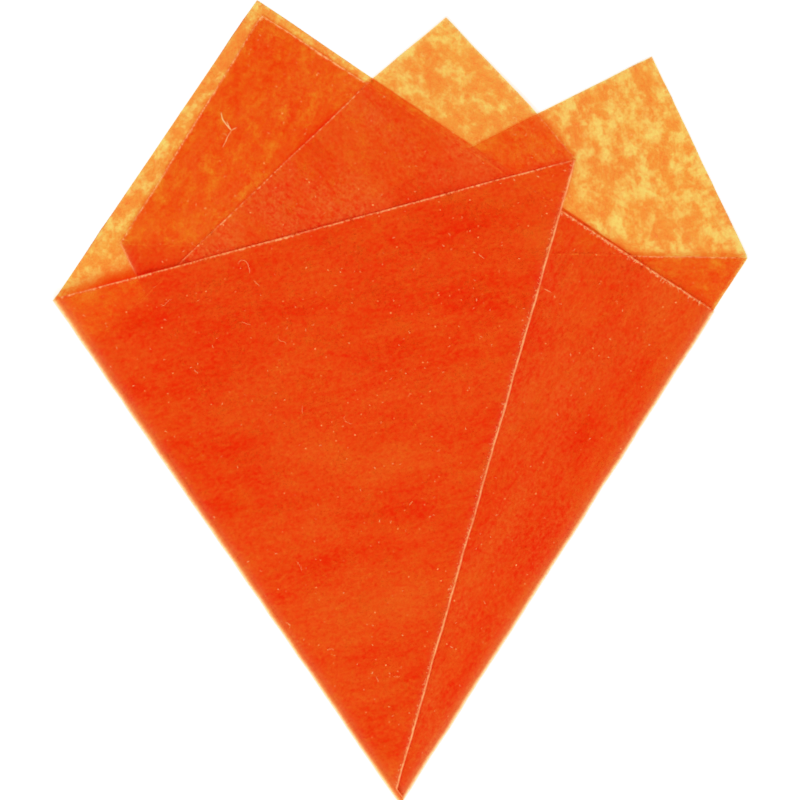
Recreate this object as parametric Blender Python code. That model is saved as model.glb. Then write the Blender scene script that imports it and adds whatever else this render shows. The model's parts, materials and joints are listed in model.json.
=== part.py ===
"""Folded paper packet: a square of thin translucent paper, folded flat into a kite-shaped cornet.

Six creases meet near the middle of the sheet and divide it into six panels. Folded up, the panels lie in
six layers on the table: the back pair, then the right flap (two leaves, folded over to the left), then the
front flap (two leaves, folded over to the right on top of everything). Each flap turns on an edge of the
packet, where one crease is nested in another; the crease between a flap's own two leaves stays closed.

Metres, +Z up. The packet lies flat in the XY plane with its point towards -Y and its front towards +Z.
The origin is the middle of the underside.
"""

import math

import bpy
from mathutils import Matrix, Vector

MM = 0.001

# --- driving dimensions -------------------------------------------------------------------------------
PAPER = 0.05 * MM  # thickness of the sheet
PITCH = 0.25 * MM  # from the middle of one layer to the middle of the next
EDGE_GAP = 0.10 * MM  # from a panel's edge to the line that its crease turns about
BLUNT_TIP = 0.73 * MM  # how far the packed creases stop short of the sharp point
CREASE_STEPS = 12  # facets round a closed crease
PAPER_ROUGHNESS = 0.62
HINGE_MARK = 10 * MM  # size that a hinge is drawn at

# Points of the folded packet, in millimetres from the sharp point where its two long edges would meet.
SHARP_POINT = Vector((0.0, 0.0))
LEFT_CORNER = Vector((-46.6, 68.0))
RIGHT_EDGE_FOOT = Vector((0.3, -0.2))  # the right edge runs from here to the right corner
RIGHT_CORNER = Vector((47.3, 73.6))
LEFT_PEAK = Vector((-19.2, 108.6))  # a corner of the sheet, on the back panel
LEFT_PEAK_INNER = Vector((-18.5, 106.5))  # a corner, on the right flap's outer leaf
MIDDLE_PEAK = Vector((6.4, 106.2))  # a corner, on the front flap's inner leaf
RIGHT_PEAK = Vector((34.3, 100.9))  # a corner, on the inner back panel
FRONT_CREASE_TOP = Vector((24.0, 87.0))
FRONT_CREASE_FOOT = Vector((-0.7, 0.0))
HIDDEN_CREASE_TOP = Vector((-37.7, 75.5))
HIDDEN_CREASE_FOOT = Vector((0.9, 0.0))
UPPER_SIDE_END = Vector((42.7, 66.4))  # where the sheet's upper side meets the right edge
LOWER_SIDE_END = Vector((-41.9, 61.1))  # where the sheet's lower side meets the left edge
# The sheet's sides are a little bowed where they run free beside these two peaks.
MIDDLE_PEAK_LEFT_BOW = Vector((-3.6, 97.8))
MIDDLE_PEAK_RIGHT_BOW = Vector((18.9, 93.0))
RIGHT_PEAK_LEFT_BOW = Vector((10.1, 88.7))

# --- layers, counted up from the table ----------------------------------------------------------------
BACK, INNER_BACK, RIGHT_INNER, RIGHT_OUTER, FRONT_INNER, FRONT_OUTER = range(6)
LEFT_FOLD_RADIUS = (FRONT_OUTER - BACK) * PITCH / 2
RIGHT_FOLD_RADIUS = (RIGHT_OUTER - BACK) * PITCH / 2
CLOSED_CREASE_RADIUS = PITCH / 2

SINGLE_LAYER_AMBER = (0.91, 0.38, 0.06, 1.0)
DOUBLE_LAYER_ORANGE = (0.84, 0.12, 0.012, 1.0)
DEEP_LAYER_RED = (0.81, 0.056, 0.004, 1.0)
CREASE_SALMON = (0.93, 0.36, 0.16, 1.0)


class Line:
    """A straight line in the packet's plane. Depth is counted as positive on the side of `inside`."""

    def __init__(self, start, end, inside):
        self.start = start
        self.along = (end - start).normalized()
        self.length = (end - start).length
        self.inward = Vector((-self.along.y, self.along.x))
        if self.inward.dot(inside - start) < 0:
            self.inward.negate()

    def inset(self, distance):
        """The same line moved inwards."""
        start = self.start + self.inward * distance
        return Line(start, start + self.along * self.length, start + self.inward)

    def depth(self, point):
        return self.inward.dot(point - self.start)

    def beyond(self, other, depth):
        """The rest of this line after the point where it has come depth inside another line."""
        run = (depth - other.depth(self.start)) / other.inward.dot(self.along)
        start = self.start + self.along * run
        return Line(start, self.start + self.along * self.length, start + self.inward)


def packet_line(start, end, inside):
    """A line between points given in millimetres."""
    return Line(start * MM, end * MM, inside * MM)


def keep_inside(outline, line):
    """The part of an outline that lies on the inward side of a line."""
    kept = []
    for here, after in zip(outline, outline[1:] + outline[:1]):
        depth_here, depth_after = line.depth(here), line.depth(after)
        if depth_here >= 0:
            kept.append(here)
        if depth_here * depth_after < 0:
            kept.append(here.lerp(after, depth_here / (depth_here - depth_after)))
    return kept


def layer_height(layer):
    """Height of the middle of a layer above the table; a half is midway between two layers."""
    return PAPER / 2 + layer * PITCH


def paper_material(name, colour):
    """A matt paper in one colour."""
    material = bpy.data.materials.new(name)
    material.use_nodes = True
    shader = material.node_tree.nodes["Principled BSDF"]
    shader.inputs["Base Color"].default_value = colour
    shader.inputs["Roughness"].default_value = PAPER_ROUGHNESS
    shader.inputs["Metallic"].default_value = 0.0
    material.diffuse_color = colour
    return material


def filled_curve(name, outline, depth, colour, collection):
    """A filled 2D outline with half of depth to each side of its plane."""
    curve = bpy.data.curves.new(name, "CURVE")
    curve.dimensions = "2D"
    curve.fill_mode = "BOTH"
    curve.extrude = depth / 2
    spline = curve.splines.new("POLY")
    spline.points.add(len(outline) - 1)
    for point, place in zip(spline.points, outline):
        point.co = (place.x, place.y, 0.0, 1.0)
    spline.use_cyclic_u = True
    curve.materials.append(paper_material(name, colour))
    piece = bpy.data.objects.new(name, curve)
    collection.objects.link(piece)
    return piece


def hold(piece, hinge):
    """Parents a piece to a hinge and leaves it where it is."""
    bpy.context.view_layer.update()
    piece.parent = hinge
    piece.matrix_parent_inverse = hinge.matrix_world.inverted()


def add_panel(name, corners, trims, layer, hinge, colour, collection):
    """One flat panel of the sheet: its corners in millimetres, cut back along its creases."""
    outline = [corner * MM for corner in corners]
    for line in trims:
        outline = keep_inside(outline, line)
    panel = filled_curve(name, outline, PAPER, colour, collection)
    panel.location.z = layer_height(layer)
    if hinge is not None:
        hold(panel, hinge)


def add_closed_crease(name, line, lower_layer, hinge, collection):
    """The roll of paper that joins two leaves: half a ring, drawn out along the line it turns about."""
    angles = [math.pi * (step / CREASE_STEPS - 0.5) for step in range(CREASE_STEPS + 1)]
    outer, inner = CLOSED_CREASE_RADIUS + PAPER / 2, CLOSED_CREASE_RADIUS - PAPER / 2
    half_ring = [Vector((math.cos(a), math.sin(a))) * outer for a in angles]
    half_ring += [Vector((math.cos(a), math.sin(a))) * inner for a in reversed(angles)]
    roll = filled_curve(name, half_ring, line.length, CREASE_SALMON, collection)
    outward, up = -line.inward.to_3d(), Vector((0.0, 0.0, 1.0))
    turn = Matrix((outward, up, outward.cross(up))).transposed().to_4x4()
    middle = line.start + line.along * (line.length / 2)
    roll.matrix_world = Matrix.Translation((*middle, layer_height(lower_layer + 0.5))) @ turn
    hold(roll, hinge)


def add_hinge(name, line, radius, collection):
    """An empty on the line that a flap turns about, with its X axis along the line."""
    hinge = bpy.data.objects.new(name, None)
    hinge.empty_display_size = HINGE_MARK
    hinge.location = (*line.start, PAPER / 2 + radius)
    hinge.rotation_euler.z = math.atan2(line.along.y, line.along.x)
    collection.objects.link(hinge)
    return hinge


def centre_on_underside(collection):
    """Moves the packet so that the origin is the middle of its box, seen from above."""
    bpy.context.view_layer.update()
    curves = [piece for piece in collection.objects if piece.type == "CURVE"]
    corners = [curve.matrix_world @ Vector(corner) for curve in curves for corner in curve.bound_box]
    middle_x = (min(c.x for c in corners) + max(c.x for c in corners)) / 2
    middle_y = (min(c.y for c in corners) + max(c.y for c in corners)) / 2
    for piece in collection.objects:
        if piece.parent is None:
            piece.location -= Vector((middle_x, middle_y, 0.0))


def build():
    for old in list(bpy.data.objects):
        bpy.data.objects.remove(old)
    collection = bpy.data.collections.new("folded_paper_packet")
    bpy.context.scene.collection.children.link(collection)

    # The lines that the creases turn about lie inside the packet's edges by the radius of their roll.
    tip = Line(Vector((-MM, BLUNT_TIP)), Vector((MM, BLUNT_TIP)), LEFT_PEAK * MM)
    left_axis = packet_line(LEFT_CORNER, SHARP_POINT, RIGHT_CORNER).inset(LEFT_FOLD_RADIUS)
    right_axis = packet_line(RIGHT_EDGE_FOOT, RIGHT_CORNER, LEFT_CORNER).inset(RIGHT_FOLD_RADIUS)
    front_axis = packet_line(FRONT_CREASE_FOOT, FRONT_CREASE_TOP, LEFT_CORNER).inset(CLOSED_CREASE_RADIUS)
    hidden_axis = packet_line(HIDDEN_CREASE_FOOT, HIDDEN_CREASE_TOP, RIGHT_CORNER).inset(CLOSED_CREASE_RADIUS)
    left, right, front, hidden = (
        axis.inset(EDGE_GAP) for axis in (left_axis, right_axis, front_axis, hidden_axis)
    )
    front_roll = front_axis.beyond(left, CLOSED_CREASE_RADIUS + PAPER)
    hidden_roll = hidden_axis.beyond(right, CLOSED_CREASE_RADIUS + PAPER)

    add_panel("back_panel", [LEFT_CORNER, LEFT_PEAK, UPPER_SIDE_END, SHARP_POINT],
              [left, right, tip], BACK, None, SINGLE_LAYER_AMBER, collection)
    add_panel("inner_back_panel",
              [LOWER_SIDE_END, RIGHT_PEAK_LEFT_BOW, RIGHT_PEAK, RIGHT_CORNER, SHARP_POINT],
              [left, right, tip], INNER_BACK, None, SINGLE_LAYER_AMBER, collection)

    right_hinge = add_hinge("right_fold_hinge", right_axis, RIGHT_FOLD_RADIUS, collection)
    add_panel("right_flap_inner_leaf", [HIDDEN_CREASE_TOP, RIGHT_CORNER, SHARP_POINT],
              [right, hidden, tip], RIGHT_INNER, right_hinge, DOUBLE_LAYER_ORANGE, collection)
    add_panel("right_flap_outer_leaf",
              [HIDDEN_CREASE_TOP, LEFT_PEAK_INNER, UPPER_SIDE_END, SHARP_POINT],
              [right, hidden, tip], RIGHT_OUTER, right_hinge, DOUBLE_LAYER_ORANGE, collection)
    add_closed_crease("right_flap_crease", hidden_roll, RIGHT_INNER, right_hinge, collection)

    left_hinge = add_hinge("left_fold_hinge", left_axis, LEFT_FOLD_RADIUS, collection)
    add_panel("front_flap_inner_leaf",
              [LOWER_SIDE_END, MIDDLE_PEAK_LEFT_BOW, MIDDLE_PEAK, MIDDLE_PEAK_RIGHT_BOW,
               FRONT_CREASE_TOP, FRONT_CREASE_FOOT],
              [left, front, tip], FRONT_INNER, left_hinge, DEEP_LAYER_RED, collection)
    add_panel("front_flap_outer_leaf", [LEFT_CORNER, FRONT_CREASE_TOP, FRONT_CREASE_FOOT],
              [left, front, tip], FRONT_OUTER, left_hinge, DEEP_LAYER_RED, collection)
    add_closed_crease("front_flap_crease", front_roll, FRONT_INNER, left_hinge, collection)

    centre_on_underside(collection)


build()
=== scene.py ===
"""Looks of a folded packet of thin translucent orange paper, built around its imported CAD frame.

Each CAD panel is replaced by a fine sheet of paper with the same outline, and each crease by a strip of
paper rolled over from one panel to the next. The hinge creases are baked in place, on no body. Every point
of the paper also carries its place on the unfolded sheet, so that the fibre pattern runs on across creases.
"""

import json
import math
import random

import bpy
import numpy as np
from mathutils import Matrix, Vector
from mathutils.geometry import delaunay_2d_cdt


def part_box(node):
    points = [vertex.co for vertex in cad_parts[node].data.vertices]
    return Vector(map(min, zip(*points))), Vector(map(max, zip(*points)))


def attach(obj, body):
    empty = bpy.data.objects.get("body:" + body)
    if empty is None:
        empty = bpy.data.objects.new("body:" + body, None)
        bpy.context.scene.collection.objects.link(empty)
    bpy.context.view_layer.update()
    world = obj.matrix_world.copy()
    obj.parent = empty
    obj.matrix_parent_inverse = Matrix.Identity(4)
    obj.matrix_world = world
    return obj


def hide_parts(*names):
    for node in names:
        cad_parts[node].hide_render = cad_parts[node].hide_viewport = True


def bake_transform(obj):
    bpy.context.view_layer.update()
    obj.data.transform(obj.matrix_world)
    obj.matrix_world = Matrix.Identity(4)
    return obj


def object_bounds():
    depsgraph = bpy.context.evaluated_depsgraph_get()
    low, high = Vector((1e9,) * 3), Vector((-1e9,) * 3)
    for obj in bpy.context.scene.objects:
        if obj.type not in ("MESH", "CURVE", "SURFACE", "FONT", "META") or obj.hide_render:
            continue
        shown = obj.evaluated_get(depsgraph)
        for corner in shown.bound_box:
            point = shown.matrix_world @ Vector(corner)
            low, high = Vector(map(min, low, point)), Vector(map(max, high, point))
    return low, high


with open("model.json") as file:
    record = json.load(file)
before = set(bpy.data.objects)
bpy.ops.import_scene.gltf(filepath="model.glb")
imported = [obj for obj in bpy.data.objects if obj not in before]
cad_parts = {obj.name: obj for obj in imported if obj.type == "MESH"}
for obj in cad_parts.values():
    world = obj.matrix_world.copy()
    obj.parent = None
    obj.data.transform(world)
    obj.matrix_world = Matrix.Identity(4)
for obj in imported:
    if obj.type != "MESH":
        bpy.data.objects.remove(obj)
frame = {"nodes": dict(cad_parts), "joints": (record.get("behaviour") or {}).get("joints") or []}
cad_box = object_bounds()

MM = 0.001
PAPER = 0.05 * MM  # thickness of the paper
EDGE_GAP = 0.10 * MM  # from a panel's edge to the line that its crease turns about
GRID = 0.8 * MM  # spacing of the points inside a panel
ROW_SHARE = 0.866  # spacing of the rows of those points, as a share of the spacing within a row
CUT_STEP = 0.10 * MM  # spacing of the points along a cut edge
FOLD_STEP = 0.5 * MM  # spacing of the points along a crease
SHORTEST_CUT = 2 * MM  # shorter cut edges only blunt a panel's tip
FAR = 99.0  # a distance in mm at which nothing that happens at an edge is left
SEAM = 0.006 * MM  # hairline between a panel and the strip rolled over from it
FOLD_CLEARANCE = 0.08 * MM  # how far the inner roll of a fold stays inside the outer one
FOLD_BULGE = 0.12 * MM  # how far the outer roll of a fold is squeezed out beyond a true half ring
BLUNT_TIP = 0.55 * MM  # how far the rolled edges stop short of the point where they would meet
FLAT_SPREAD = 0.36  # layer spacing in the middle of the packet, as a share of the spacing at its folds
FLAT_REACH = 24 * MM  # how far in from a fold the layers take to settle on each other
PEAK_SPREAD = 0.35  # how much of that spacing is left at the free peaks
PEAK_REACH = 18 * MM  # how far beyond the top layer's edge the peaks take to settle on the table
PEAK_DROP = 16 * MM  # how far below the top layer's highest corner the peaks start
COCKLE = 0.045 * MM  # size of the waviness that all the layers share
WAVER = 0.035 * MM  # how far edges and creases stray from straight
LEFT_BOW = 0.14 * MM  # how far the left fold's roll bows out in its upper part
BOW_START, BOW_RISE = -34, 26  # where in the plane, in mm, that bow starts, and how soon it is full
PROUD_RISE = 0.05 * MM  # how far a cut edge on top stands proud of the paper under it
PROUD_REACH = 4 * MM  # how far in from the edge that reaches
LEAF_PAINTED_SHADOW_REACH = 0.77  # how far, in mm, the painted shadow beside the front flap's inner leaf reaches

# The panels in the order in which their layers lie, from the table up, with the body each rides on.
PANELS = {
    "back_panel": "back",
    "inner_back_panel": "back",
    "right_flap_inner_leaf": "right_flap",
    "right_flap_outer_leaf": "right_flap",
    "front_flap_inner_leaf": "front_flap",
    "front_flap_outer_leaf": "front_flap",
}
PROUD_PANELS = ("right_flap_outer_leaf", "front_flap_inner_leaf", "front_flap_outer_leaf")

# For each panel: how rough its cut edges are, in mm; how much painted glow it gets towards the fold edges (rim);
# how strong the pale line of broken fibres and painted highlight along its closed crease is; how much handling
# has hazed it; and how many mm the same pale line along its cut edges loses against that of the ragged panels.
LOOKS = {
    "back_panel": {"rough": 0.012, "rim": 0.15, "crease": 0.0, "haze": 0.03, "loss": 0.13},
    "inner_back_panel": {"rough": 0.010, "rim": 0.15, "crease": 0.0, "haze": 0.05, "loss": 0.13},
    "right_flap_inner_leaf": {"rough": 0.012, "rim": 0.2, "crease": 0.3, "haze": 0.05, "loss": 0.0},
    "right_flap_outer_leaf": {"rough": 0.030, "rim": 1.0, "crease": 0.85, "haze": 0.07, "loss": 0.0},
    "front_flap_inner_leaf": {"rough": 0.012, "rim": 0.2, "crease": 0.3, "haze": 0.19, "loss": 0.06},
    "front_flap_outer_leaf": {"rough": 0.015, "rim": 1.0, "crease": 1.0, "haze": 0.01, "loss": 0.0},
}

# Colours of the paper, as the share of red, green and blue that it throws back (COLOUR) or lets through (TINT).
SCATTER_SHARE = 0.20  # share of the light that plain paper throws back
SHADOW_TINT = (0.80, 0.655, 0.44, 1)  # of one layer, on average
CLEAR_TINT_THIN = (0.893, 0.905, 0.645, 1)
CLEAR_TINT_THICK = (0.852, 0.718, 0.422, 1)
DENSE_TINT = (0.83, 0.62, 0.34, 1)  # where the top layer hides more
DENSE_COLOUR = (0.83, 0.018, 0.0006, 1)
PALE_COLOUR = (0.88, 0.132, 0.0140, 1)
HAZE_COLOUR = (0.90, 0.23, 0.055, 1)
PAINTED_SHADOW_COLOUR = (0.86, 0.030, 0.0008, 1)  # of the painted shadows beside two edges; the tint on the next line goes with them
PAINTED_SHADOW_TINT = (0.88, 0.30, 0.08, 1)
BROKEN_AND_LIT_COLOUR = (1.0, 0.38, 0.17, 1)  # of broken fibres with a painted highlight, at cut edges and closed creases
RIM_GLOW_COLOUR = (0.93, 0.52, 0.20, 1)  # painted glow towards the outside of the folds; the tint on the next line goes with it
RIM_GLOW_TINT = (0.93, 0.70, 0.45, 1)
OUTER_GLOW_COLOUR = (0.96, 0.68, 0.46, 1)  # painted glow on the outermost part of the folds
FRINGE_TINT = (0.99, 0.97, 0.93, 1)
FIBRE_COLOUR = (0.95, 0.34, 0.12, 1)  # of the loose fibres
FIBRE_LIGHT_COLOUR = (0.95, 0.46, 0.20, 1)
SPECK_COLOUR = (1.0, 0.34, 0.12, 1)

# Light and camera.
AMBIENT = 0.90
LAMP_POWER = 18.0
LAMP_PLACE = (-0.10, -0.62, 0.52)
LENS = 200
VIEW_WIDTH = 108.1 * MM  # what the picture takes in at the packet's height
VIEW_SHIFT = (-0.25 * MM, -0.28 * MM)  # where the picture's middle lies from the packet's
# The picture's highlights roll off softly: scene brightness and the brightness shown for it.
TONE_CURVE = ((0.0, 0.0), (0.30, 0.30), (0.62, 0.62), (0.85, 0.815), (1.27, 0.912), (1.55, 1.0), (2.56, 1.02))


# --- lines and outlines read from the frame ------------------------------------------------------------
class Line:
    """A straight line in the packet's plane, given by a point and a direction."""

    def __init__(self, point, along):
        self.point = np.array(point[:2], float)
        self.along = np.array(along[:2], float) / np.linalg.norm(along[:2])
        self.normal = np.array((-self.along[1], self.along[0]))

    def depth(self, points):
        """Signed distance of points from the line."""
        return (np.asarray(points)[..., :2] - self.point) @ self.normal

    def run(self, points):
        """How far along the line points lie."""
        return (np.asarray(points)[..., :2] - self.point) @ self.along

    def mirror(self, points):
        """Points reflected in the line, as a fold does."""
        return np.asarray(points)[..., :2] - 2 * np.outer(self.depth(points), self.normal)


def outline_of(node):
    """The corners of a flat convex CAD panel, anticlockwise."""
    corners = {(round(v.co.x, 7), round(v.co.y, 7)) for v in frame["nodes"][node].data.vertices}
    corners = np.array(sorted(corners))
    middle = corners.mean(0)
    turn = np.arctan2(corners[:, 1] - middle[1], corners[:, 0] - middle[0])
    return corners[np.argsort(turn)]


def height_of(node):
    """The height of a flat CAD panel's middle."""
    low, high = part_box(node)
    return (low.z + high.z) / 2


def edges_of(outline):
    """An outline's edges, as pairs of corners."""
    return list(zip(outline, np.roll(outline, -1, 0)))


def line_of(edge):
    return Line(edge[0], edge[1] - edge[0])


def length_of(edge):
    return np.linalg.norm(edge[1] - edge[0])


def across_of(edge):
    """How far to the right an edge lies, to tell edges by."""
    return (edge[0] + edge[1])[0]


def crease_axis(node, panel):
    """The line that a closed crease is rolled about: it runs EDGE_GAP outside the panel's edge beside it."""
    low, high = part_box(node)
    middle = np.array(((low.x + high.x) / 2, (low.y + high.y) / 2))
    outline = outline_of(panel)
    start, end = min(edges_of(outline), key=lambda edge: abs(line_of(edge).depth(middle)) - length_of(edge))
    line = Line(start, end - start)
    outwards = -np.sign(line.depth(outline.mean(0)))
    return Line(start + line.normal * outwards * EDGE_GAP, end - start)


joints = {joint["name"]: joint for joint in frame["joints"]}
left_axis = Line(joints["left_fold"]["pos_m"], joints["left_fold"]["axis"])
right_axis = Line(joints["right_fold"]["pos_m"], joints["right_fold"]["axis"])
front_axis = crease_axis("front_flap_crease", "front_flap_outer_leaf")
hidden_axis = crease_axis("right_flap_crease", "right_flap_outer_leaf")
outlines = {name: outline_of(name) for name in PANELS}
heights = {name: height_of(name) for name in PANELS}

# How far the outermost roll of each fold reaches beyond its axis.
OUTER_RADIUS = {
    left_axis: (heights["front_flap_outer_leaf"] - heights["back_panel"]) / 2,
    right_axis: (heights["right_flap_outer_leaf"] - heights["back_panel"]) / 2,
}

# Which creases bound each panel: a flap's hinge comes first.
BOUNDS = {
    "back_panel": (left_axis, right_axis),
    "inner_back_panel": (left_axis, right_axis),
    "right_flap_inner_leaf": (right_axis, hidden_axis),
    "right_flap_outer_leaf": (right_axis, hidden_axis),
    "front_flap_inner_leaf": (left_axis, front_axis),
    "front_flap_outer_leaf": (left_axis, front_axis),
}


def fold_line(line, lower, upper):
    """The line to unfold two panels in: outside their roll's axis by half the paper that the roll takes."""
    outwards = -np.sign(line.depth(outlines[lower].mean(0))) * line.normal
    radius = (heights[upper] - heights[lower]) / 2
    return Line(line.point + outwards * radius * math.pi / 2, line.along)


left_outer = fold_line(left_axis, "back_panel", "front_flap_outer_leaf")
left_inner = fold_line(left_axis, "inner_back_panel", "front_flap_inner_leaf")
right_outer = fold_line(right_axis, "back_panel", "right_flap_outer_leaf")
front_closed = fold_line(front_axis, "front_flap_inner_leaf", "front_flap_outer_leaf")
hidden_closed = fold_line(hidden_axis, "right_flap_inner_leaf", "right_flap_outer_leaf")
# The lines to mirror a panel in, one after the other, to unfold it into the plane of the back panel.
UNFOLD = {
    "back_panel": (),
    "inner_back_panel": (left_inner, front_closed, left_outer),
    "right_flap_inner_leaf": (hidden_closed, right_outer),
    "right_flap_outer_leaf": (right_outer,),
    "front_flap_inner_leaf": (front_closed, left_outer),
    "front_flap_outer_leaf": (left_outer,),
}


def is_beside(edge, line):
    """True if an edge runs along a crease's axis."""
    return max(abs(line.depth(corner)) for corner in edge) < 2 * EDGE_GAP


def is_crease_edge(edge, panel):
    """True if an edge of a panel runs along one of its creases."""
    return any(is_beside(edge, line) for line in BOUNDS[panel])


def cut_edges(panel):
    """A panel's edges that are edges of the sheet."""
    edges = edges_of(outlines[panel])
    return [edge for edge in edges if not is_crease_edge(edge, panel) and length_of(edge) > SHORTEST_CUT]


def crease_edge(panel, line):
    """The two ends of the panel's edge beside a crease, from the point of the packet up."""
    edges = [edge for edge in edges_of(outlines[panel]) if is_beside(edge, line)]
    start, end = max(edges, key=length_of)
    return (start, end) if start[1] < end[1] else (end, start)


def crossing(first, second):
    """The point where two lines cross."""
    turn = np.column_stack((first.along, -second.along))
    return first.point + first.along * np.linalg.solve(turn, second.point - first.point)[0]


def covers_of(panel):
    """The panels that lie over a panel, from the top down."""
    order = list(PANELS)
    return order[:order.index(panel):-1]


# The grain of the paper runs along the side of the sheet that the back panel's upper left edge shows.
grain = line_of(min(cut_edges("back_panel"), key=across_of)).along
grain_line = Line((0, 0), grain * np.sign(grain[1]))


def place_on_sheet(panel, points):
    """Where points of a folded panel lie on the open sheet, in millimetres, with X along the grain."""
    flat = np.asarray(points)[:, :2]
    for line in UNFOLD[panel]:
        flat = line.mirror(flat)
    return np.stack((grain_line.run(flat), grain_line.depth(flat), np.zeros(len(flat))), 1) / MM


# --- how the paper lies --------------------------------------------------------------------------------
def distance_to_segment(points, start, end):
    """Distances of points from the straight stretch between two others."""
    along = end - start
    share = np.clip(((points - start) @ along) / (along @ along), 0, 1)
    return np.linalg.norm(points - (start + np.outer(share, along)), axis=1)


def distance_to_cut(panel, points):
    """Distances in mm of points from a panel's nearest cut edge."""
    distances = [distance_to_segment(points, start, end) / MM for start, end in cut_edges(panel)]
    return np.min([np.full(len(points), FAR), *distances], axis=0)


def outside_of(panel, points):
    """Distances of points outside a panel's outline, negative inside it."""
    return np.max([-line_of(edge).depth(points) for edge in edges_of(outlines[panel])], axis=0)


def distance_to_folds(points):
    """Distances of points from the nearer of the two fold edges."""
    return np.minimum(abs(left_axis.depth(points)), abs(right_axis.depth(points)))


def ease(share):
    """0 up to 1 as a share goes from 0 to 1, without a kink at either end."""
    share = np.clip(share, 0, 1)
    return share * share * (3 - 2 * share)


def towards_peaks(points):
    """0 as far as the top layer reaches, up to 1 at the free peaks beyond it."""
    beyond = outside_of("front_flap_outer_leaf", points) - 3 * MM
    above = points[:, 1] - (outlines["front_flap_outer_leaf"][:, 1].max() - PEAK_DROP)
    return ease(beyond / PEAK_REACH) * ease(above / (12 * MM))


def settle(points):
    """How far apart the layers lie at points: 1 at the folds, down to FLAT_SPREAD in the middle."""
    spread = 1 - (1 - FLAT_SPREAD) * ease((distance_to_folds(points) - 1 * MM) / FLAT_REACH)
    return spread * (1 - (1 - PEAK_SPREAD) * towards_peaks(points))


def cockle(points):
    """The slight waviness that all the layers share."""
    x, y = points[:, 0] / MM, points[:, 1] / MM
    waves = np.sin(0.31 * x + 0.17 * y + 0.6) * np.sin(0.13 * x - 0.29 * y) + 0.5 * np.sin(0.53 * y + 0.21 * x)
    waves = COCKLE * (waves + 1.5) * ease((distance_to_folds(points) - 1 * MM) / (8 * MM))
    return waves * (1 - 0.75 * towards_peaks(points))


def proud(panel, points, cut):
    """How far the paper stands off its layer at points, given their distance in mm from a cut edge."""
    if panel not in PROUD_PANELS:
        return np.zeros(len(points))
    rise = PROUD_RISE * ease(1 - cut * MM / PROUD_REACH) * (1 + 0.35 * np.sin(points[:, 0] / MM * 0.35 + 1))
    for line in BOUNDS[panel]:
        rise = rise * ease((abs(line.depth(points)) - 0.4 * MM) / (5 * MM))
    for cover in covers_of(panel):
        rise = rise * ease(outside_of(cover, points) / (2.5 * MM))
    return rise


def layer_surface(points, z):
    """Heights of points in a layer that has the height z at the folds."""
    return PAPER / 2 + (z - PAPER / 2) * settle(points) + cockle(points)


def uneven(points):
    """Points moved a little within the plane, so that no edge or crease stays dead straight."""
    x, y = points[:, 0] / MM, points[:, 1] / MM
    across = np.sin(0.41 * y + 0.13 * x) + 0.7 * np.sin(0.93 * y - 0.35 * x + 1.1)
    across += 0.4 * np.sin(1.9 * y + 0.8 * x)
    along = np.sin(0.37 * x - 0.11 * y + 0.5) + 0.7 * np.sin(0.88 * x + 0.29 * y)
    along += 0.4 * np.sin(2.1 * x - 0.6 * y)
    moved = points.copy()
    moved[:, 0] += WAVER * across
    moved[:, 1] += WAVER * along
    # The roll of the left fold bows out by a hair in its upper part.
    away = -left_axis.normal * np.sign(left_axis.depth((0, 0)))
    reach = ease((points[:, :2] - left_axis.point) @ away / OUTER_RADIUS[left_axis])
    moved[:, :2] += (LEFT_BOW * (reach * ease((y - BOW_START) / BOW_RISE)))[:, None] * away
    return moved


# --- what the paper shows where ------------------------------------------------------------------------
def beside(edge, points):
    """For points: run along an edge from its left end, run short of its right end, height above it, in mm."""
    start, end = sorted(edge, key=lambda corner: corner[0])
    line = Line(start, end - start)
    run = line.run(points) / MM
    return run, np.linalg.norm(end - start) / MM - run, line.depth(points) / MM


def bump_at(run, middle, width):
    """1 where a run reaches a middle, falling off to each side."""
    return np.exp(-(((run - middle) / width) ** 2))


def top_painted_shadow(panel, points):
    """The painted shadow all along the top layer's edge, on the paper under it: distance, strength, reach."""
    run, rest, height = beside(max(cut_edges("front_flap_outer_leaf"), key=length_of), points)
    near_left, near_right = bump_at(run, 9, 7), bump_at(run, 56, 14)
    strength = (0.14 + 0.86 * near_left + 0.36 * near_right) * ease(run / 3) * ease(rest / 2)
    return {
        "edge_mm": height,
        "painted_shadow_strength": strength * (panel != "front_flap_outer_leaf"),
        "painted_shadow_reach": 0.8 + 0.35 * near_left + 0.5 * near_right,
    }


def leaf_painted_shadow(panel, points):
    """The short painted shadow beside the front flap's inner leaf, on the right flap: distance and strength."""
    run, rest, height = beside(min(cut_edges("front_flap_inner_leaf"), key=across_of), points)
    strength = (0.12 + 0.80 * bump_at(run, 42, 6)) * ease(run / 6) * ease(rest / 6)
    return {"leaf_edge_mm": height, "leaf_painted_shadow": strength * (panel == "right_flap_outer_leaf")}


def dense(panel, points):
    """How much more the top layer hides near the left corner, where it stands off the layer under it."""
    if panel != "front_flap_outer_leaf":
        return np.zeros(len(points))
    corner = min(outlines[panel], key=lambda p: p[0])
    return ease(1.25 - np.linalg.norm(points[:, :2] - corner, axis=1) / (22 * MM))


def crease_shows(panel, points):
    """How much of a closed crease's pale line, of broken fibres and painted highlight, points have: less of it
    where the crease lay covered.
    """
    if not panel.startswith("right_flap"):
        return np.ones(len(points))
    return 0.15 + 0.85 * ease(outside_of("front_flap_outer_leaf", points) / (2 * MM))


# --- mesh building -------------------------------------------------------------------------------------
def add_object(name, data):
    """An object put into the scene."""
    piece = bpy.data.objects.new(name, data)
    bpy.context.scene.collection.objects.link(piece)
    return piece


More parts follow.
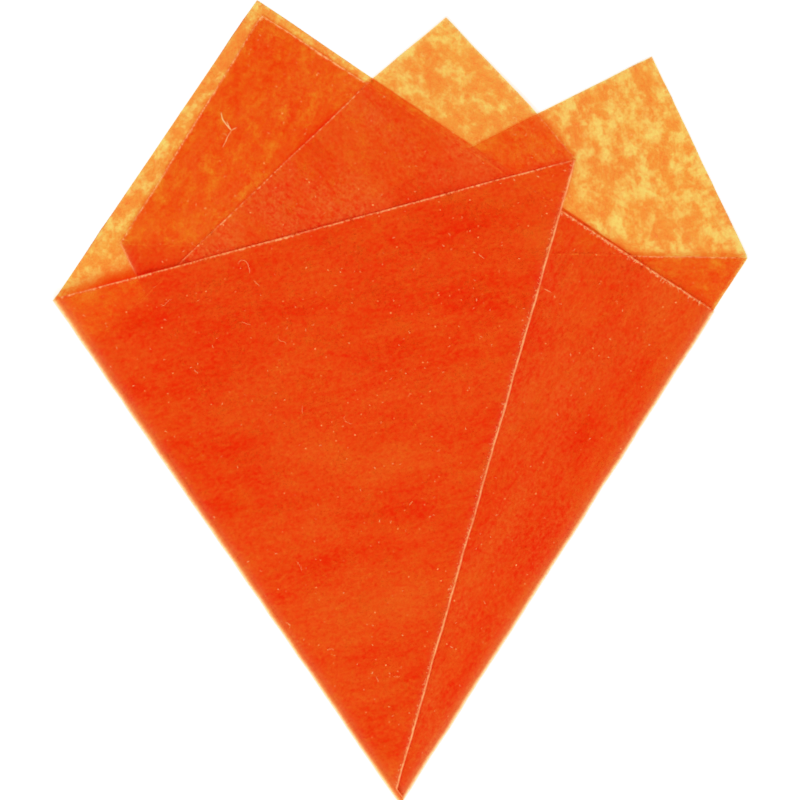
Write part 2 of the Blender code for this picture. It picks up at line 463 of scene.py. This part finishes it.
def stack_mesh(name, points, triangles, values):
    """A closed sheet of paper: the points moved half its thickness to each side, with a rim between."""
    triangles = np.asarray(triangles)
    points = uneven(points)
    normals = np.zeros_like(points)
    corner = points[triangles]
    facing = np.cross(corner[:, 1] - corner[:, 0], corner[:, 2] - corner[:, 0])
    for k in range(3):
        np.add.at(normals, triangles[:, k], facing)
    normals /= np.maximum(np.linalg.norm(normals, axis=1, keepdims=True), 1e-20)
    count = len(points)
    both = np.concatenate((points + normals * PAPER / 2, points - normals * PAPER / 2))
    directed = {(int(a), int(b)) for t in triangles for a, b in zip(t, np.roll(t, -1))}
    rim = [(a, b) for a, b in sorted(directed) if (b, a) not in directed]
    faces = [tuple(int(i) for i in t) for t in triangles]
    faces += [tuple(int(i) + count for i in reversed(t)) for t in triangles]
    faces += [(b, a, a + count, b + count) for a, b in rim]
    mesh = bpy.data.meshes.new(name)
    mesh.from_pydata(both.tolist(), [], faces)
    smooth = [True] * (2 * len(triangles)) + [False] * len(rim)
    mesh.polygons.foreach_set("use_smooth", smooth)
    for key, value in values.items():
        value = np.asarray(value, np.float32)
        kind, field = ("FLOAT", "value") if value.ndim == 1 else ("FLOAT_VECTOR", "vector")
        attribute = mesh.attributes.new(key, kind, "POINT")
        attribute.data.foreach_set(field, np.concatenate((value, value)).ravel())
    mesh.update()
    return add_object(name, mesh)


def edge_points(edge, step, roughness, rng):
    """Points along an edge, its start included and its end not, a little off the straight line."""
    start, end = edge
    length = length_of(edge)
    count = max(1, round(length / step))
    along = (end - start) / length
    across = np.array((-along[1], along[0]))
    points, wander = [], 0.0
    for k in range(count):
        wander = 0.6 * wander + rng.gauss(0, roughness)
        fade = min(1.0, 4 * k / count, 4 * (count - k) / count) if k else 0.0
        points.append(start + along * length * k / count + across * wander * fade)
    return points


def panel_grid(panel, rng):
    """Points and triangles that fill a panel's outline, with its cut edges a little rough."""
    edges = edges_of(outlines[panel])
    border = []
    for edge in edges:
        if is_crease_edge(edge, panel):
            border += edge_points(edge, FOLD_STEP, 0.0, rng)
        else:
            border += edge_points(edge, CUT_STEP, LOOKS[panel]["rough"] * MM, rng)
    border = np.array(border)
    low, high = border.min(0), border.max(0)
    inside = []
    for row in range(int((high[1] - low[1]) / (GRID * ROW_SHARE)) + 1):
        y = low[1] + row * GRID * ROW_SHARE
        for column in range(int((high[0] - low[0]) / GRID) + 1):
            inside.append((low[0] + (column + 0.5 * (row % 2)) * GRID, y))
    inside = np.array(inside)
    inside = inside[outside_of(panel, inside) < -0.4 * GRID]
    points = [Vector(p) for p in np.concatenate((border, inside))]
    result = delaunay_2d_cdt(points, [], [list(range(len(border)))], 1, 1e-9, False)
    return drop_slivers(np.array([tuple(v) for v in result[0]]), np.array([tuple(f) for f in result[2]]))


def drop_slivers(points, triangles):
    """The triangles that have a real area, and the points that they use."""
    a, b, c = (points[triangles[:, k]] for k in range(3))
    area = 0.5 * abs(np.cross(b - a, c - a))
    triangles = triangles[area > 1e-10]
    used, again = np.unique(triangles, return_inverse=True)
    return points[used], again.reshape(triangles.shape)


def make_panel(panel, rng):
    """The fine sheet that stands for one CAD panel."""
    flat, triangles = panel_grid(panel, rng)
    cut = distance_to_cut(panel, flat)
    z = layer_surface(flat, heights[panel]) + proud(panel, flat, cut)
    points = np.column_stack((flat, z))
    hinges = [line for line in BOUNDS[panel] if line in OUTER_RADIUS]
    rim = np.min([abs(line.depth(flat)) / MM + OUTER_RADIUS[line] / MM for line in hinges], axis=0)
    crease = np.full(len(flat), FAR)
    if PANELS[panel] != "back":
        crease = abs(BOUNDS[panel][1].depth(flat)) / MM
    looks = LOOKS[panel]
    values = {
        "sheet": place_on_sheet(panel, flat),
        "cut_mm": cut + looks["loss"],
        "rim_mm": rim,
        "crease_mm": crease,
        "crease_gain": looks["crease"] * crease_shows(panel, flat),
        "rim_gain": np.full(len(flat), looks["rim"]),
        "dense": dense(panel, flat),
        "haze": np.full(len(flat), looks["haze"]),
        **top_painted_shadow(panel, flat),
        **leaf_painted_shadow(panel, flat),
    }
    piece = stack_mesh(panel + "_paper", points, triangles, values)
    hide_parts(panel)
    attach(piece, PANELS[panel])
    return piece


def foot_of_front_crease(start):
    """Shifts that lead the front crease from its last straight point down beside the left fold to the tip."""
    way = crossing(left_axis, right_axis) - start
    length = abs(way @ left_axis.along) - 0.15 * MM
    down = left_axis.along * np.sign(way @ left_axis.along)
    inward = left_axis.normal * np.sign(left_axis.depth((0, 0)))
    return [down * length * share + inward * 0.03 * MM * share for share in (1.0, 0.75, 0.5, 0.25)]


def make_fold(name, lower, upper, line, steps):
    """The strip of paper rolled over from the edge of the lower panel to the edge of the upper one."""
    closed = line not in OUTER_RADIUS
    lower_edge, upper_edge = crease_edge(lower, line), crease_edge(upper, line)
    z_low, z_high = heights[lower], heights[upper]
    radius = (z_high - z_low) / 2
    if closed:
        bulge = radius
    elif radius > OUTER_RADIUS[line] - PAPER:  # the outer one of the two rolls of a hinge
        bulge = OUTER_RADIUS[line] + FOLD_BULGE
    else:
        bulge = OUTER_RADIUS[line] - FOLD_CLEARANCE
    outwards = -np.sign(line.depth(outlines[lower].mean(0))) * line.normal
    rise = np.sign(line.along[1])
    # Across the strip: out from the lower edge to the axis, round the half ring, and back in.
    section = [(SEAM - EDGE_GAP, z_low)]
    section += [
        (bulge * math.cos(a), z_low + radius + radius * math.sin(a))
        for a in np.linspace(-math.pi / 2, math.pi / 2, steps + 1)
    ]
    section += [(SEAM - EDGE_GAP, z_high)]
    # Both panels' own edges of the sheet run on over the fold and meet at its outermost point.
    reach = bulge + EDGE_GAP
    own = [[line.run(p) * rise for p in ends] for ends in (lower_edge, upper_edge)]
    meet = (own[0][1] + own[1][1]) / 2
    arc = np.concatenate(([0], np.cumsum(np.linalg.norm(np.diff(np.array(section), axis=0), axis=1))))
    columns = max(2, round((meet - own[0][0]) / FOLD_STEP))
    foot = foot_of_front_crease(lower_edge[0]) if line is front_axis else []
    points, unrolled, across, turned = [], [], [], []
    for k, (out, z) in enumerate(section):
        share = k / (len(section) - 1)
        ends = own[0] if z < z_low + radius else own[1]
        outermost = (out + EDGE_GAP) / reach
        start, end = ends[0], ends[1] + (meet - ends[1]) * outermost
        if not closed:  # the rolls run down to the packet's blunt tip, which they close
            side = line.point + outwards * out
            start = (TIP_HEIGHT - side[1]) / (line.along[1] * rise)
        runs = [(start, shift) for shift in foot]
        runs += [(start + (end - start) * c / columns, np.zeros(2)) for c in range(columns + 1)]
        for run, shift in runs:
            at = line.point + line.along * run * rise + outwards * out + shift
            points.append((*at, z))
            base = line.point + line.along * run * rise - outwards * EDGE_GAP + shift
            unrolled.append(base + outwards * arc[k])
            across.append(out / MM)
            turned.append(share)
    points, across, turned = np.array(points), np.array(across), np.array(turned)
    # The roll follows the layers that it joins where they settle together.
    points[:, 2] = layer_surface(points[:, :2], points[:, 2])
    triangles = []
    columns += len(foot)
    for k in range(len(section) - 1):
        for c in range(columns):
            a, b = k * (columns + 1) + c, (k + 1) * (columns + 1) + c
            triangles += [(a, b, a + 1), (a + 1, b, b + 1)]
    corner = points[np.array(triangles[0])]
    facing = np.cross(corner[1] - corner[0], corner[2] - corner[0])
    if facing[2] > 0:  # the strip starts on its underside, which has to face down
        triangles = [(a, c, b) for a, b, c in triangles]
    far, none = np.full(len(points), FAR), np.zeros(len(points))

    def blended(key):
        """A number of the lower panel's looks that turns into the upper panel's across the strip."""
        return LOOKS[lower][key] * (1 - turned) + LOOKS[upper][key] * turned

    values = {
        "sheet": place_on_sheet(lower, unrolled),
        "cut_mm": far,
        "rim_mm": far if closed else OUTER_RADIUS[line] / MM - across,
        "crease_mm": -across if closed else far,
        "crease_gain": blended("crease") * crease_shows(upper, points) if closed else none,
        "rim_gain": none if closed else blended("rim"),
        "dense": dense(upper, points),
        "haze": blended("haze"),
        "edge_mm": far,
        "painted_shadow_strength": none,
        "painted_shadow_reach": none + 1,
        "leaf_edge_mm": far,
        "leaf_painted_shadow": none,
    }
    return stack_mesh(name, points, triangles, values)


def fold_edge(axis):
    """The line that the outermost paper of a fold reaches to."""
    outwards = -axis.normal * np.sign(axis.depth((0, 0)))
    return Line(axis.point + outwards * (OUTER_RADIUS[axis] + PAPER / 2), axis.along)


# How high in the plane the packet's blunt tip lies, a little above the point where its two long edges would meet.
TIP_HEIGHT = crossing(fold_edge(left_axis), fold_edge(right_axis))[1] + BLUNT_TIP

rng = random.Random(7)
pieces = {panel: make_panel(panel, rng) for panel in PANELS}
for name, lower, upper, line, steps in (
    ("right_flap_crease", "right_flap_inner_leaf", "right_flap_outer_leaf", hidden_axis, 10),
    ("front_flap_crease", "front_flap_inner_leaf", "front_flap_outer_leaf", front_axis, 10),
    ("left_fold_outer", "back_panel", "front_flap_outer_leaf", left_axis, 16),
    ("left_fold_inner", "inner_back_panel", "front_flap_inner_leaf", left_axis, 14),
    ("right_fold_outer", "back_panel", "right_flap_outer_leaf", right_axis, 14),
    ("right_fold_inner", "inner_back_panel", "right_flap_inner_leaf", right_axis, 10),
):
    fold = make_fold(name + "_paper", lower, upper, line, steps)
    if line in OUTER_RADIUS:
        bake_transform(fold)
    else:
        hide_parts(name)
        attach(fold, PANELS[upper])
    pieces[name] = fold


# --- paper ---------------------------------------------------------------------------------------------
class Nodes:
    """Short calls for building a node tree."""

    def __init__(self, tree):
        self.tree = tree

    def add(self, kind, **settings):
        node = self.tree.nodes.new(kind)
        for key, value in settings.items():
            setattr(node, key, value)
        return node

    def feed(self, socket, value):
        if isinstance(value, bpy.types.NodeSocket):
            self.tree.links.new(value, socket)
        else:
            socket.default_value = value

    def math(self, operation, *values, clamp=False):
        node = self.add("ShaderNodeMath", operation=operation, use_clamp=clamp)
        for socket, value in zip(node.inputs, values):
            self.feed(socket, value)
        return node.outputs[0]

    def remap(self, value, low, high, to_low=0.0, to_high=1.0, smooth=False):
        node = self.add("ShaderNodeMapRange", interpolation_type="SMOOTHSTEP" if smooth else "LINEAR")
        for socket, given in zip(node.inputs, (value, low, high, to_low, to_high)):
            self.feed(socket, given)
        return node.outputs[0]

    def mix(self, share, first, second):
        node = self.add("ShaderNodeMix", data_type="RGBA")
        self.feed(node.inputs[0], share)
        self.feed(node.inputs[6], first)
        self.feed(node.inputs[7], second)
        return node.outputs[2]

    def product(self, *factors):
        """The product of several values, held between 0 and 1 at the end."""
        value = factors[0]
        for k, factor in enumerate(factors[1:], 2):
            value = self.math("MULTIPLY", value, factor, clamp=k == len(factors))
        return value

    def fading(self, distance, rate):
        """1 at a distance of 0 or less, fading out beyond it."""
        return self.math("EXPONENT", self.math("MULTIPLY", self.math("MAXIMUM", distance, 0.0), -rate))

    def attribute(self, name, output="Fac"):
        return self.add("ShaderNodeAttribute", attribute_name=name).outputs[output]

    def scaled(self, vector, x, y):
        node = self.add("ShaderNodeVectorMath", operation="MULTIPLY")
        self.feed(node.inputs[0], vector)
        node.inputs[1].default_value = (x, y, 1.0)
        return node.outputs[0]

    def noise(self, vector, x, y, detail, roughness=0.5):
        node = self.add("ShaderNodeTexNoise", noise_dimensions="2D")
        self.feed(node.inputs["Vector"], self.scaled(vector, x, y))
        node.inputs["Scale"].default_value = 1.0
        node.inputs["Detail"].default_value = detail
        node.inputs["Roughness"].default_value = roughness
        return node.outputs["Fac"]


def painted_edge_shadow(n, distance, strength, reach):
    """How dark a painted shadow beside an edge is: full at the edge, cut off under it and fading out beyond it."""
    under = n.math("MULTIPLY", n.math("MINIMUM", distance, 0.0), 8.0)
    beyond = n.math("DIVIDE", n.math("MAXIMUM", distance, 0.0), reach)
    return n.math("MULTIPLY", strength, n.math("EXPONENT", n.math("SUBTRACT", under, beyond)))


def specks(n, sheet):
    """Small pale specks, where a fibre has lifted or a pinhole has filled with dust."""
    rough = n.add("ShaderNodeTexNoise", noise_dimensions="2D")
    n.feed(rough.inputs["Vector"], sheet)
    rough.inputs["Scale"].default_value = 4.0
    wobble = n.add("ShaderNodeVectorMath", operation="MULTIPLY_ADD")
    n.feed(wobble.inputs[0], rough.outputs["Color"])
    wobble.inputs[1].default_value = (0.30, 0.30, 0)
    n.feed(wobble.inputs[2], sheet)
    cells = n.add("ShaderNodeTexVoronoi", voronoi_dimensions="2D", feature="F1")
    n.feed(cells.inputs["Vector"], n.scaled(wobble.outputs[0], 0.72, 0.80))
    cells.inputs["Scale"].default_value = 1.0
    split = n.add("ShaderNodeSeparateColor")
    n.feed(split.inputs[0], cells.outputs["Color"])
    size = n.remap(split.outputs[1], 0.0, 1.0, 0.02, 0.075)
    chosen = n.remap(split.outputs[0], 0.74, 1.0, 0.0, 0.80)
    near = n.remap(n.math("DIVIDE", cells.outputs["Distance"], size), 0.6, 1.2, 1.0, 0.0)
    return n.math("MULTIPLY", near, chosen)


def broken_fibres_and_highlight(n, sheet, edge_noise):
    """How pale the lines along the cut edges and the closed creases are: broken fibres, with a painted highlight.
    """
    cut = n.math("ADD", n.attribute("cut_mm"), n.remap(edge_noise, 0.3, 0.7, -0.10, 0.18))
    cut_line = n.remap(cut, 0.03, 0.24, 0.70, 0.0)
    crease = n.math("ADD", n.attribute("crease_mm"), n.remap(edge_noise, 0.3, 0.7, -0.08, 0.14))
    patchy = n.noise(sheet, 0.45, 0.45, detail=3.0, roughness=0.7)
    sharp = n.math("MULTIPLY", n.remap(crease, 0.02, 0.26, 0.46, 0.0), n.remap(patchy, 0.3, 0.7, 0.65, 1.3))
    tail = n.math("MULTIPLY", n.fading(n.attribute("crease_mm"), 3.2), 0.24)
    fold_line = n.math("MULTIPLY", n.math("ADD", sharp, tail), n.attribute("crease_gain"))
    return n.math("MAXIMUM", cut_line, fold_line)


def paper_material(name):
    material = bpy.data.materials.new(name)
    material.use_nodes = True
    tree = material.node_tree
    tree.nodes.clear()
    n = Nodes(tree)
    sheet = n.attribute("sheet", "Vector")

    # Formation: how the fibres happened to settle, from centimetre clouds down to single fibres.
    clouds = n.noise(sheet, 0.028, 0.034, detail=1.0)
    formation = n.noise(sheet, 0.30, 0.38, detail=4.5, roughness=0.80)
    formation = n.math("ADD", formation, n.remap(clouds, 0.3, 0.7, -0.038, 0.026))
    tooth = n.noise(sheet, 2.6, 3.6, detail=2.0, roughness=0.8)
    thin = n.remap(n.math("MULTIPLY_ADD", n.math("SUBTRACT", tooth, 0.5), 0.16, formation), 0.40, 0.65, smooth=True)
    # Light creeps in at the cut edges, where the paper looks thinner.
    thin = n.math("MULTIPLY_ADD", n.fading(n.attribute("cut_mm"), 1.6), 0.40, thin, clamp=True)
    tint = n.mix(thin, CLEAR_TINT_THICK, CLEAR_TINT_THIN)
    tint = n.mix(n.math("MULTIPLY", n.attribute("dense"), 0.45), tint, DENSE_TINT)

    # What the fibres throw back: paler in drifts and patches.
    drift = n.noise(sheet, 0.05, 0.19, detail=4.0, roughness=0.7)
    fine = n.noise(sheet, 1.15, 1.9, detail=3.0, roughness=0.85)
    patches = n.noise(sheet, 0.030, 0.070, detail=2.0, roughness=0.6)
    pale = n.math("MULTIPLY_ADD", formation, 0.40, n.math("MULTIPLY", fine, 0.72))
    pale = n.math("MULTIPLY_ADD", patches, 0.28, n.math("MULTIPLY_ADD", drift, 0.65, pale))
    colour = n.mix(n.remap(pale, 0.815, 1.265), DENSE_COLOUR, PALE_COLOUR)
    dense_gain = n.math("MULTIPLY_ADD", n.attribute("dense"), 0.15, 1.0)
    scatter = n.product(
        n.remap(formation, 0.3, 0.7, 1.30, 0.70),
        dense_gain,
        n.remap(tooth, 0.25, 0.75, 0.66, 1.34),
        SCATTER_SHARE,
    )

    # Haze from handling, in wiped streaks.
    wiped = n.noise(sheet, 0.05, 0.11, detail=4.0, roughness=0.65)
    hazy = n.product(
        n.attribute("haze"),
        n.remap(wiped, 0.40, 0.66, 0.25, 1.75),
        n.remap(fine, 0.34, 0.66, 0.15, 1.85),
        n.remap(tooth, 0.30, 0.70, 0.6, 1.4),
    )
    colour = n.mix(hazy, colour, HAZE_COLOUR)

    # Painted shadows beside the top layer's edge and beside the leaf under it.
    top_painted_shadow = painted_edge_shadow(n, n.attribute("edge_mm"), n.attribute("painted_shadow_strength"), n.attribute("painted_shadow_reach"))
    leaf_painted_shadow = painted_edge_shadow(n, n.attribute("leaf_edge_mm"), n.attribute("leaf_painted_shadow"), LEAF_PAINTED_SHADOW_REACH)
    painted_shadow = n.product(n.math("ADD", top_painted_shadow, leaf_painted_shadow), n.remap(drift, 0.3, 0.7, 0.85, 1.1))
    colour = n.mix(painted_shadow, colour, PAINTED_SHADOW_COLOUR)
    tint = n.mix(painted_shadow, tint, PAINTED_SHADOW_TINT)

    # The painted glow round the outside of the folds, then the pale lines of broken fibres and painted highlight,
    # then the specks.
    edge_noise = n.noise(sheet, 2.2, 2.2, detail=3.0, roughness=0.75)
    rim = n.math("EXPONENT", n.math("MULTIPLY", n.attribute("rim_mm"), -2.3))
    rim = n.product(rim, n.remap(edge_noise, 0.25, 0.75, 0.85, 1.15), n.attribute("rim_gain"))
    broken_and_lit = broken_fibres_and_highlight(n, sheet, edge_noise)
    speck = specks(n, sheet)
    painted_glow_colour = n.mix(n.remap(n.attribute("rim_mm"), 0.0, 0.42, 1.0, 0.0), RIM_GLOW_COLOUR, OUTER_GLOW_COLOUR)
    colour = n.mix(rim, colour, painted_glow_colour)
    colour = n.mix(broken_and_lit, colour, BROKEN_AND_LIT_COLOUR)
    colour = n.mix(speck, colour, SPECK_COLOUR)
    scatter = n.math("MAXIMUM", scatter, n.math("MULTIPLY", broken_and_lit, 0.8))
    scatter = n.math("MAXIMUM", scatter, n.math("MULTIPLY", rim, 0.68))
    tint = n.mix(rim, tint, RIM_GLOW_TINT)
    # The outermost hair of each fold lets most of the light past.
    fringe = n.remap(n.attribute("rim_mm"), -0.12, 0.14, 0.8, 0.0)
    tint = n.mix(fringe, tint, FRINGE_TINT)
    scatter = n.math("MULTIPLY", scatter, n.math("SUBTRACT", 1.0, n.math("MULTIPLY", fringe, 0.55)))
    scatter = n.math("MAXIMUM", scatter, speck)

    clear = n.add("ShaderNodeBsdfTransparent")
    n.feed(clear.inputs["Color"], tint)
    body = n.add("ShaderNodeBsdfPrincipled")
    n.feed(body.inputs["Base Color"], colour)
    n.feed(body.inputs["Roughness"], n.remap(tooth, 0.3, 0.7, 0.42, 0.6))
    body.inputs["Specular IOR Level"].default_value = 0.04
    bump = n.add("ShaderNodeBump")
    bump.inputs["Strength"].default_value = 0.35
    bump.inputs["Distance"].default_value = 0.02 * MM
    n.feed(bump.inputs["Height"], n.math("ADD", formation, tooth))
    n.feed(body.inputs["Normal"], bump.outputs[0])
    surface = n.add("ShaderNodeMixShader")
    n.feed(surface.inputs[0], scatter)
    n.feed(surface.inputs[1], clear.outputs[0])
    n.feed(surface.inputs[2], body.outputs[0])
    # Shadows need no more than the mean share of light that a layer lets through.
    passing = n.add("ShaderNodeBsdfTransparent")
    passing.inputs["Color"].default_value = SHADOW_TINT
    rays = n.add("ShaderNodeMixShader")
    n.feed(rays.inputs[0], n.add("ShaderNodeLightPath").outputs["Is Shadow Ray"])
    n.feed(rays.inputs[1], surface.outputs[0])
    n.feed(rays.inputs[2], passing.outputs[0])
    output = n.add("ShaderNodeOutputMaterial")
    n.feed(output.inputs["Surface"], rays.outputs[0])
    return material


paper = paper_material("orange_glassine")
for piece in pieces.values():
    piece.data.materials.append(paper)


# --- loose fibres ----------------------------------------------------------------------------------------
def top_of(panel, points):
    """Heights of a panel's upper face at points."""
    cut = distance_to_cut(panel, points)
    return layer_surface(points, heights[panel]) + proud(panel, points, cut) + PAPER / 2


class Fibres:
    """The loose fibres that lie on the upper faces of one body's panels, gathered into one mesh."""

    SIDES = 5  # of a fibre's section

    def __init__(self):
        self.points, self.faces = [], []

    def lay(self, panel, start, heading, length, radius, curl, rng):
        """One fibre that wanders off in a direction from a point of a panel, if it keeps to the panel."""
        steps = max(4, round(length / (0.12 * MM)))
        path, bend = [np.array(start, float)], rng.gauss(0, curl)
        for _ in range(steps):
            bend = 0.85 * bend + rng.gauss(0, curl)
            heading += bend
            path.append(path[-1] + np.array((math.cos(heading), math.sin(heading))) * length / steps)
        path = np.array(path)
        if outside_of(panel, path).max() > 0.1 * MM:
            return
        ridge = uneven(np.column_stack((path, top_of(panel, path) + radius)))
        along = np.gradient(path, axis=0)
        along /= np.linalg.norm(along, axis=1, keepdims=True)
        side = np.column_stack((-along[:, 1], along[:, 0], np.zeros(len(path))))
        first = len(self.points)
        for k, centre in enumerate(ridge):
            taper = 0.35 + 0.65 * math.sin(math.pi * (k + 0.5) / len(ridge)) ** 0.5
            for c in range(self.SIDES):
                a = 2 * math.pi * c / self.SIDES
                spoke = side[k] * math.cos(a) + np.array((0, 0, math.sin(a)))
                self.points.append(centre + radius * taper * spoke)
        for k in range(len(ridge) - 1):
            for c in range(self.SIDES):
                a, b = first + k * self.SIDES + c, first + k * self.SIDES + (c + 1) % self.SIDES
                self.faces.append((a, b, b + self.SIDES, a + self.SIDES))
        self.faces.append(tuple(first + c for c in reversed(range(self.SIDES))))
        last = len(self.points) - self.SIDES
        self.faces.append(tuple(last + c for c in range(self.SIDES)))

    def finish(self, name, body, material):
        mesh = bpy.data.meshes.new(name)
        mesh.from_pydata([tuple(p) for p in self.points], [], self.faces)
        mesh.polygons.foreach_set("use_smooth", [True] * len(self.faces))
        mesh.materials.append(material)
        mesh.update()
        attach(add_object(name, mesh), body)


def in_box(panel, across, up):
    """The point of a panel's box at the given shares of its width and its height."""
    low, high = outlines[panel].min(0), outlines[panel].max(0)
    return low + (high - low) * np.array((across, up))


def is_open(panel, point):
    """True where nothing lies on a panel, clear of its folds."""
    at = np.array([point])
    if outside_of(panel, at)[0] > -0.3 * MM:
        return False
    return all(outside_of(cover, at)[0] > 0.5 * MM for cover in covers_of(panel))


def scatter_fibres(fibres, rng):
    """Short lint all over the open faces, with a few longer hairs."""
    for panel, count in (
        ("front_flap_outer_leaf", 460),
        ("right_flap_outer_leaf", 460),
        ("front_flap_inner_leaf", 400),
        ("inner_back_panel", 120),
        ("back_panel", 160),
    ):
        for _ in range(count):
            point = in_box(panel, rng.random(), rng.random())
            long_hair = rng.random() < 0.05
            length = rng.uniform(0.8, 2.2) * MM if long_hair else rng.uniform(0.10, 0.42) * MM
            radius = rng.uniform(0.007, 0.013) * MM if long_hair else rng.uniform(0.007, 0.024) * MM
            heading = rng.uniform(0, 2 * math.pi)
            curl = 0.10 if long_hair else 0.25
            if is_open(panel, point):
                fibres[PANELS[panel]].lay(panel, point, heading, length, radius, curl, rng)


def fray(fibres, panel, start, end, count, inset, lengths, radii, lean, rng):
    """Torn fibre ends along one edge of a panel, in loose clumps."""
    along = (end - start) / np.linalg.norm(end - start)
    inward = np.array((-along[1], along[0]))
    heading = math.atan2(along[1], along[0])
    for _ in range(count):
        run = rng.random()
        clump = 0.5 + 0.5 * math.sin(37 * run) * math.sin(91 * run + 1)
        if rng.random() > 0.35 + 0.65 * clump:
            continue
        point = start + (end - start) * run + inward * rng.uniform(*inset)
        turn = rng.gauss(0, lean) + (math.pi if rng.random() < 0.5 else 0)
        length, radius = rng.uniform(*lengths), rng.uniform(*radii)
        fibres[PANELS[panel]].lay(panel, point, heading + turn, length, radius, 0.3, rng)


def fibre_material():
    material = bpy.data.materials.new("paper_lint")
    material.use_nodes = True
    n = Nodes(material.node_tree)
    shader = material.node_tree.nodes["Principled BSDF"]
    tone = n.add("ShaderNodeTexNoise")
    n.feed(tone.inputs["Vector"], n.add("ShaderNodeNewGeometry").outputs["Position"])
    tone.inputs["Scale"].default_value = 900
    tones = n.mix(n.remap(tone.outputs["Fac"], 0.3, 0.7), FIBRE_COLOUR, FIBRE_LIGHT_COLOUR)
    n.feed(shader.inputs["Base Color"], tones)
    shader.inputs["Roughness"].default_value = 0.7
    shader.inputs["Specular IOR Level"].default_value = 0.1
    return material


def make_fibres():
    rng = random.Random(23)
    fibres = {body: Fibres() for body in ("back", "right_flap", "front_flap")}
    scatter_fibres(fibres, rng)
    low, high = crease_edge("front_flap_outer_leaf", front_axis)
    fray(fibres, "front_flap_outer_leaf", low, high, 420, (0.02 * MM, 0.26 * MM), (0.10 * MM, 0.34 * MM),
         (0.007 * MM, 0.014 * MM), 0.9, rng)
    # The open stretch of the right flap's ragged edge.
    far, corner = sorted(max(cut_edges("right_flap_outer_leaf"), key=across_of), key=lambda p: p[0])
    fray(fibres, "right_flap_outer_leaf", corner, corner + (far - corner) * 0.36, 170, (0.0, 0.22 * MM),
         (0.15 * MM, 0.50 * MM), (0.010 * MM, 0.026 * MM), 0.5, rng)
    # A forked curl near the left peak, and single hairs on the front: heading and length in mm.
    curl = in_box("right_flap_outer_leaf", 0.1874, 0.8518)
    for heading, length, radius in (
        (2.45, 2.9, 0.050), (0.64, 0.8, 0.035), (-1.91, 2.5, 0.028), (2.15, 1.4, 0.040),
    ):
        fibres["right_flap"].lay("right_flap_outer_leaf", curl, heading, length * MM, radius * MM, 0.03, rng)
    for across, up, heading, length in (
        (0.37, 0.82, 1.4, 3.0), (0.09, 0.80, 0.2, 1.6), (0.33, 0.30, 1.8, 0.9), (0.52, 0.22, 0.6, 1.0),
        (0.45, 0.26, 2.4, 0.8), (0.68, 0.45, 1.0, 0.7), (0.62, 0.17, 1.7, 0.8), (0.27, 0.66, 2.9, 0.7),
    ):
        start = in_box("front_flap_outer_leaf", across, up)
        fibres["front_flap"].lay("front_flap_outer_leaf", start, heading, length * MM, 0.015 * MM, 0.08, rng)
    material = fibre_material()
    for body, gathered in fibres.items():
        gathered.finish(body + "_fibres", body, material)


make_fibres()


# --- floor, light and camera ---------------------------------------------------------------------------
def plain_material(name, colour):
    material = bpy.data.materials.new(name)
    material.use_nodes = True
    shader = material.node_tree.nodes["Principled BSDF"]
    shader.inputs["Base Color"].default_value = colour
    shader.inputs["Roughness"].default_value = 0.9
    shader.inputs["Specular IOR Level"].default_value = 0.0
    return material


def make_stage():
    bpy.ops.mesh.primitive_plane_add(size=3.0, location=(0, 0, -0.02 * MM))
    floor = bpy.context.object
    floor.name = "floor"
    floor.data.materials.append(plain_material("white_table", (0.92, 0.92, 0.92, 1)))


def make_light():
    """Even light from all round, and a long soft lamp from below the picture."""
    world = bpy.data.worlds.new("studio")
    bpy.context.scene.world = world
    world.use_nodes = True
    background = world.node_tree.nodes["Background"]
    background.inputs["Color"].default_value = (1, 1, 1, 1)
    background.inputs["Strength"].default_value = AMBIENT
    lamp_data = bpy.data.lights.new("long_lamp", "AREA")
    lamp_data.shape = "RECTANGLE"
    lamp_data.size = 1.0
    lamp_data.size_y = 0.30
    lamp_data.energy = LAMP_POWER
    lamp = add_object("long_lamp", lamp_data)
    lamp.location = LAMP_PLACE
    lamp.rotation_euler = (-Vector(LAMP_PLACE)).to_track_quat("-Z", "Y").to_euler()


def make_camera():
    """A camera straight above the packet, looking down."""
    data = bpy.data.cameras.new("camera")
    data.lens = LENS
    camera = add_object("camera", data)
    low, high = cad_box
    middle = (low + high) / 2
    distance = VIEW_WIDTH / 2 / (data.sensor_width / 2 / data.lens)
    camera.location = (middle.x + VIEW_SHIFT[0], middle.y + VIEW_SHIFT[1], high.z + distance)
    data.clip_start = 0.01
    data.clip_end = 10
    bpy.context.scene.camera = camera


def set_view():
    scene = bpy.context.scene
    scene.view_settings.view_transform = "Standard"
    scene.view_settings.use_curve_mapping = True
    curves = scene.view_settings.curve_mapping
    curves.use_clip = False
    curves.clip_max_x = TONE_CURVE[-1][0]
    curves.clip_max_y = 2
    tone = curves.curves[3]  # the curve for red, green and blue together
    for x, y in TONE_CURVE[1:-1]:
        tone.points.new(x, y)
    for point, (x, y) in zip(tone.points, TONE_CURVE):
        point.location = (x, y)
        point.handle_type = "VECTOR"
    curves.update()
    scene.cycles.filter_width = 1.9  # as soft as the picture
    scene.cycles.transparent_max_bounces = 32  # enough for every layer, its two faces and its rolls


make_stage()
make_light()
make_camera()
set_view()
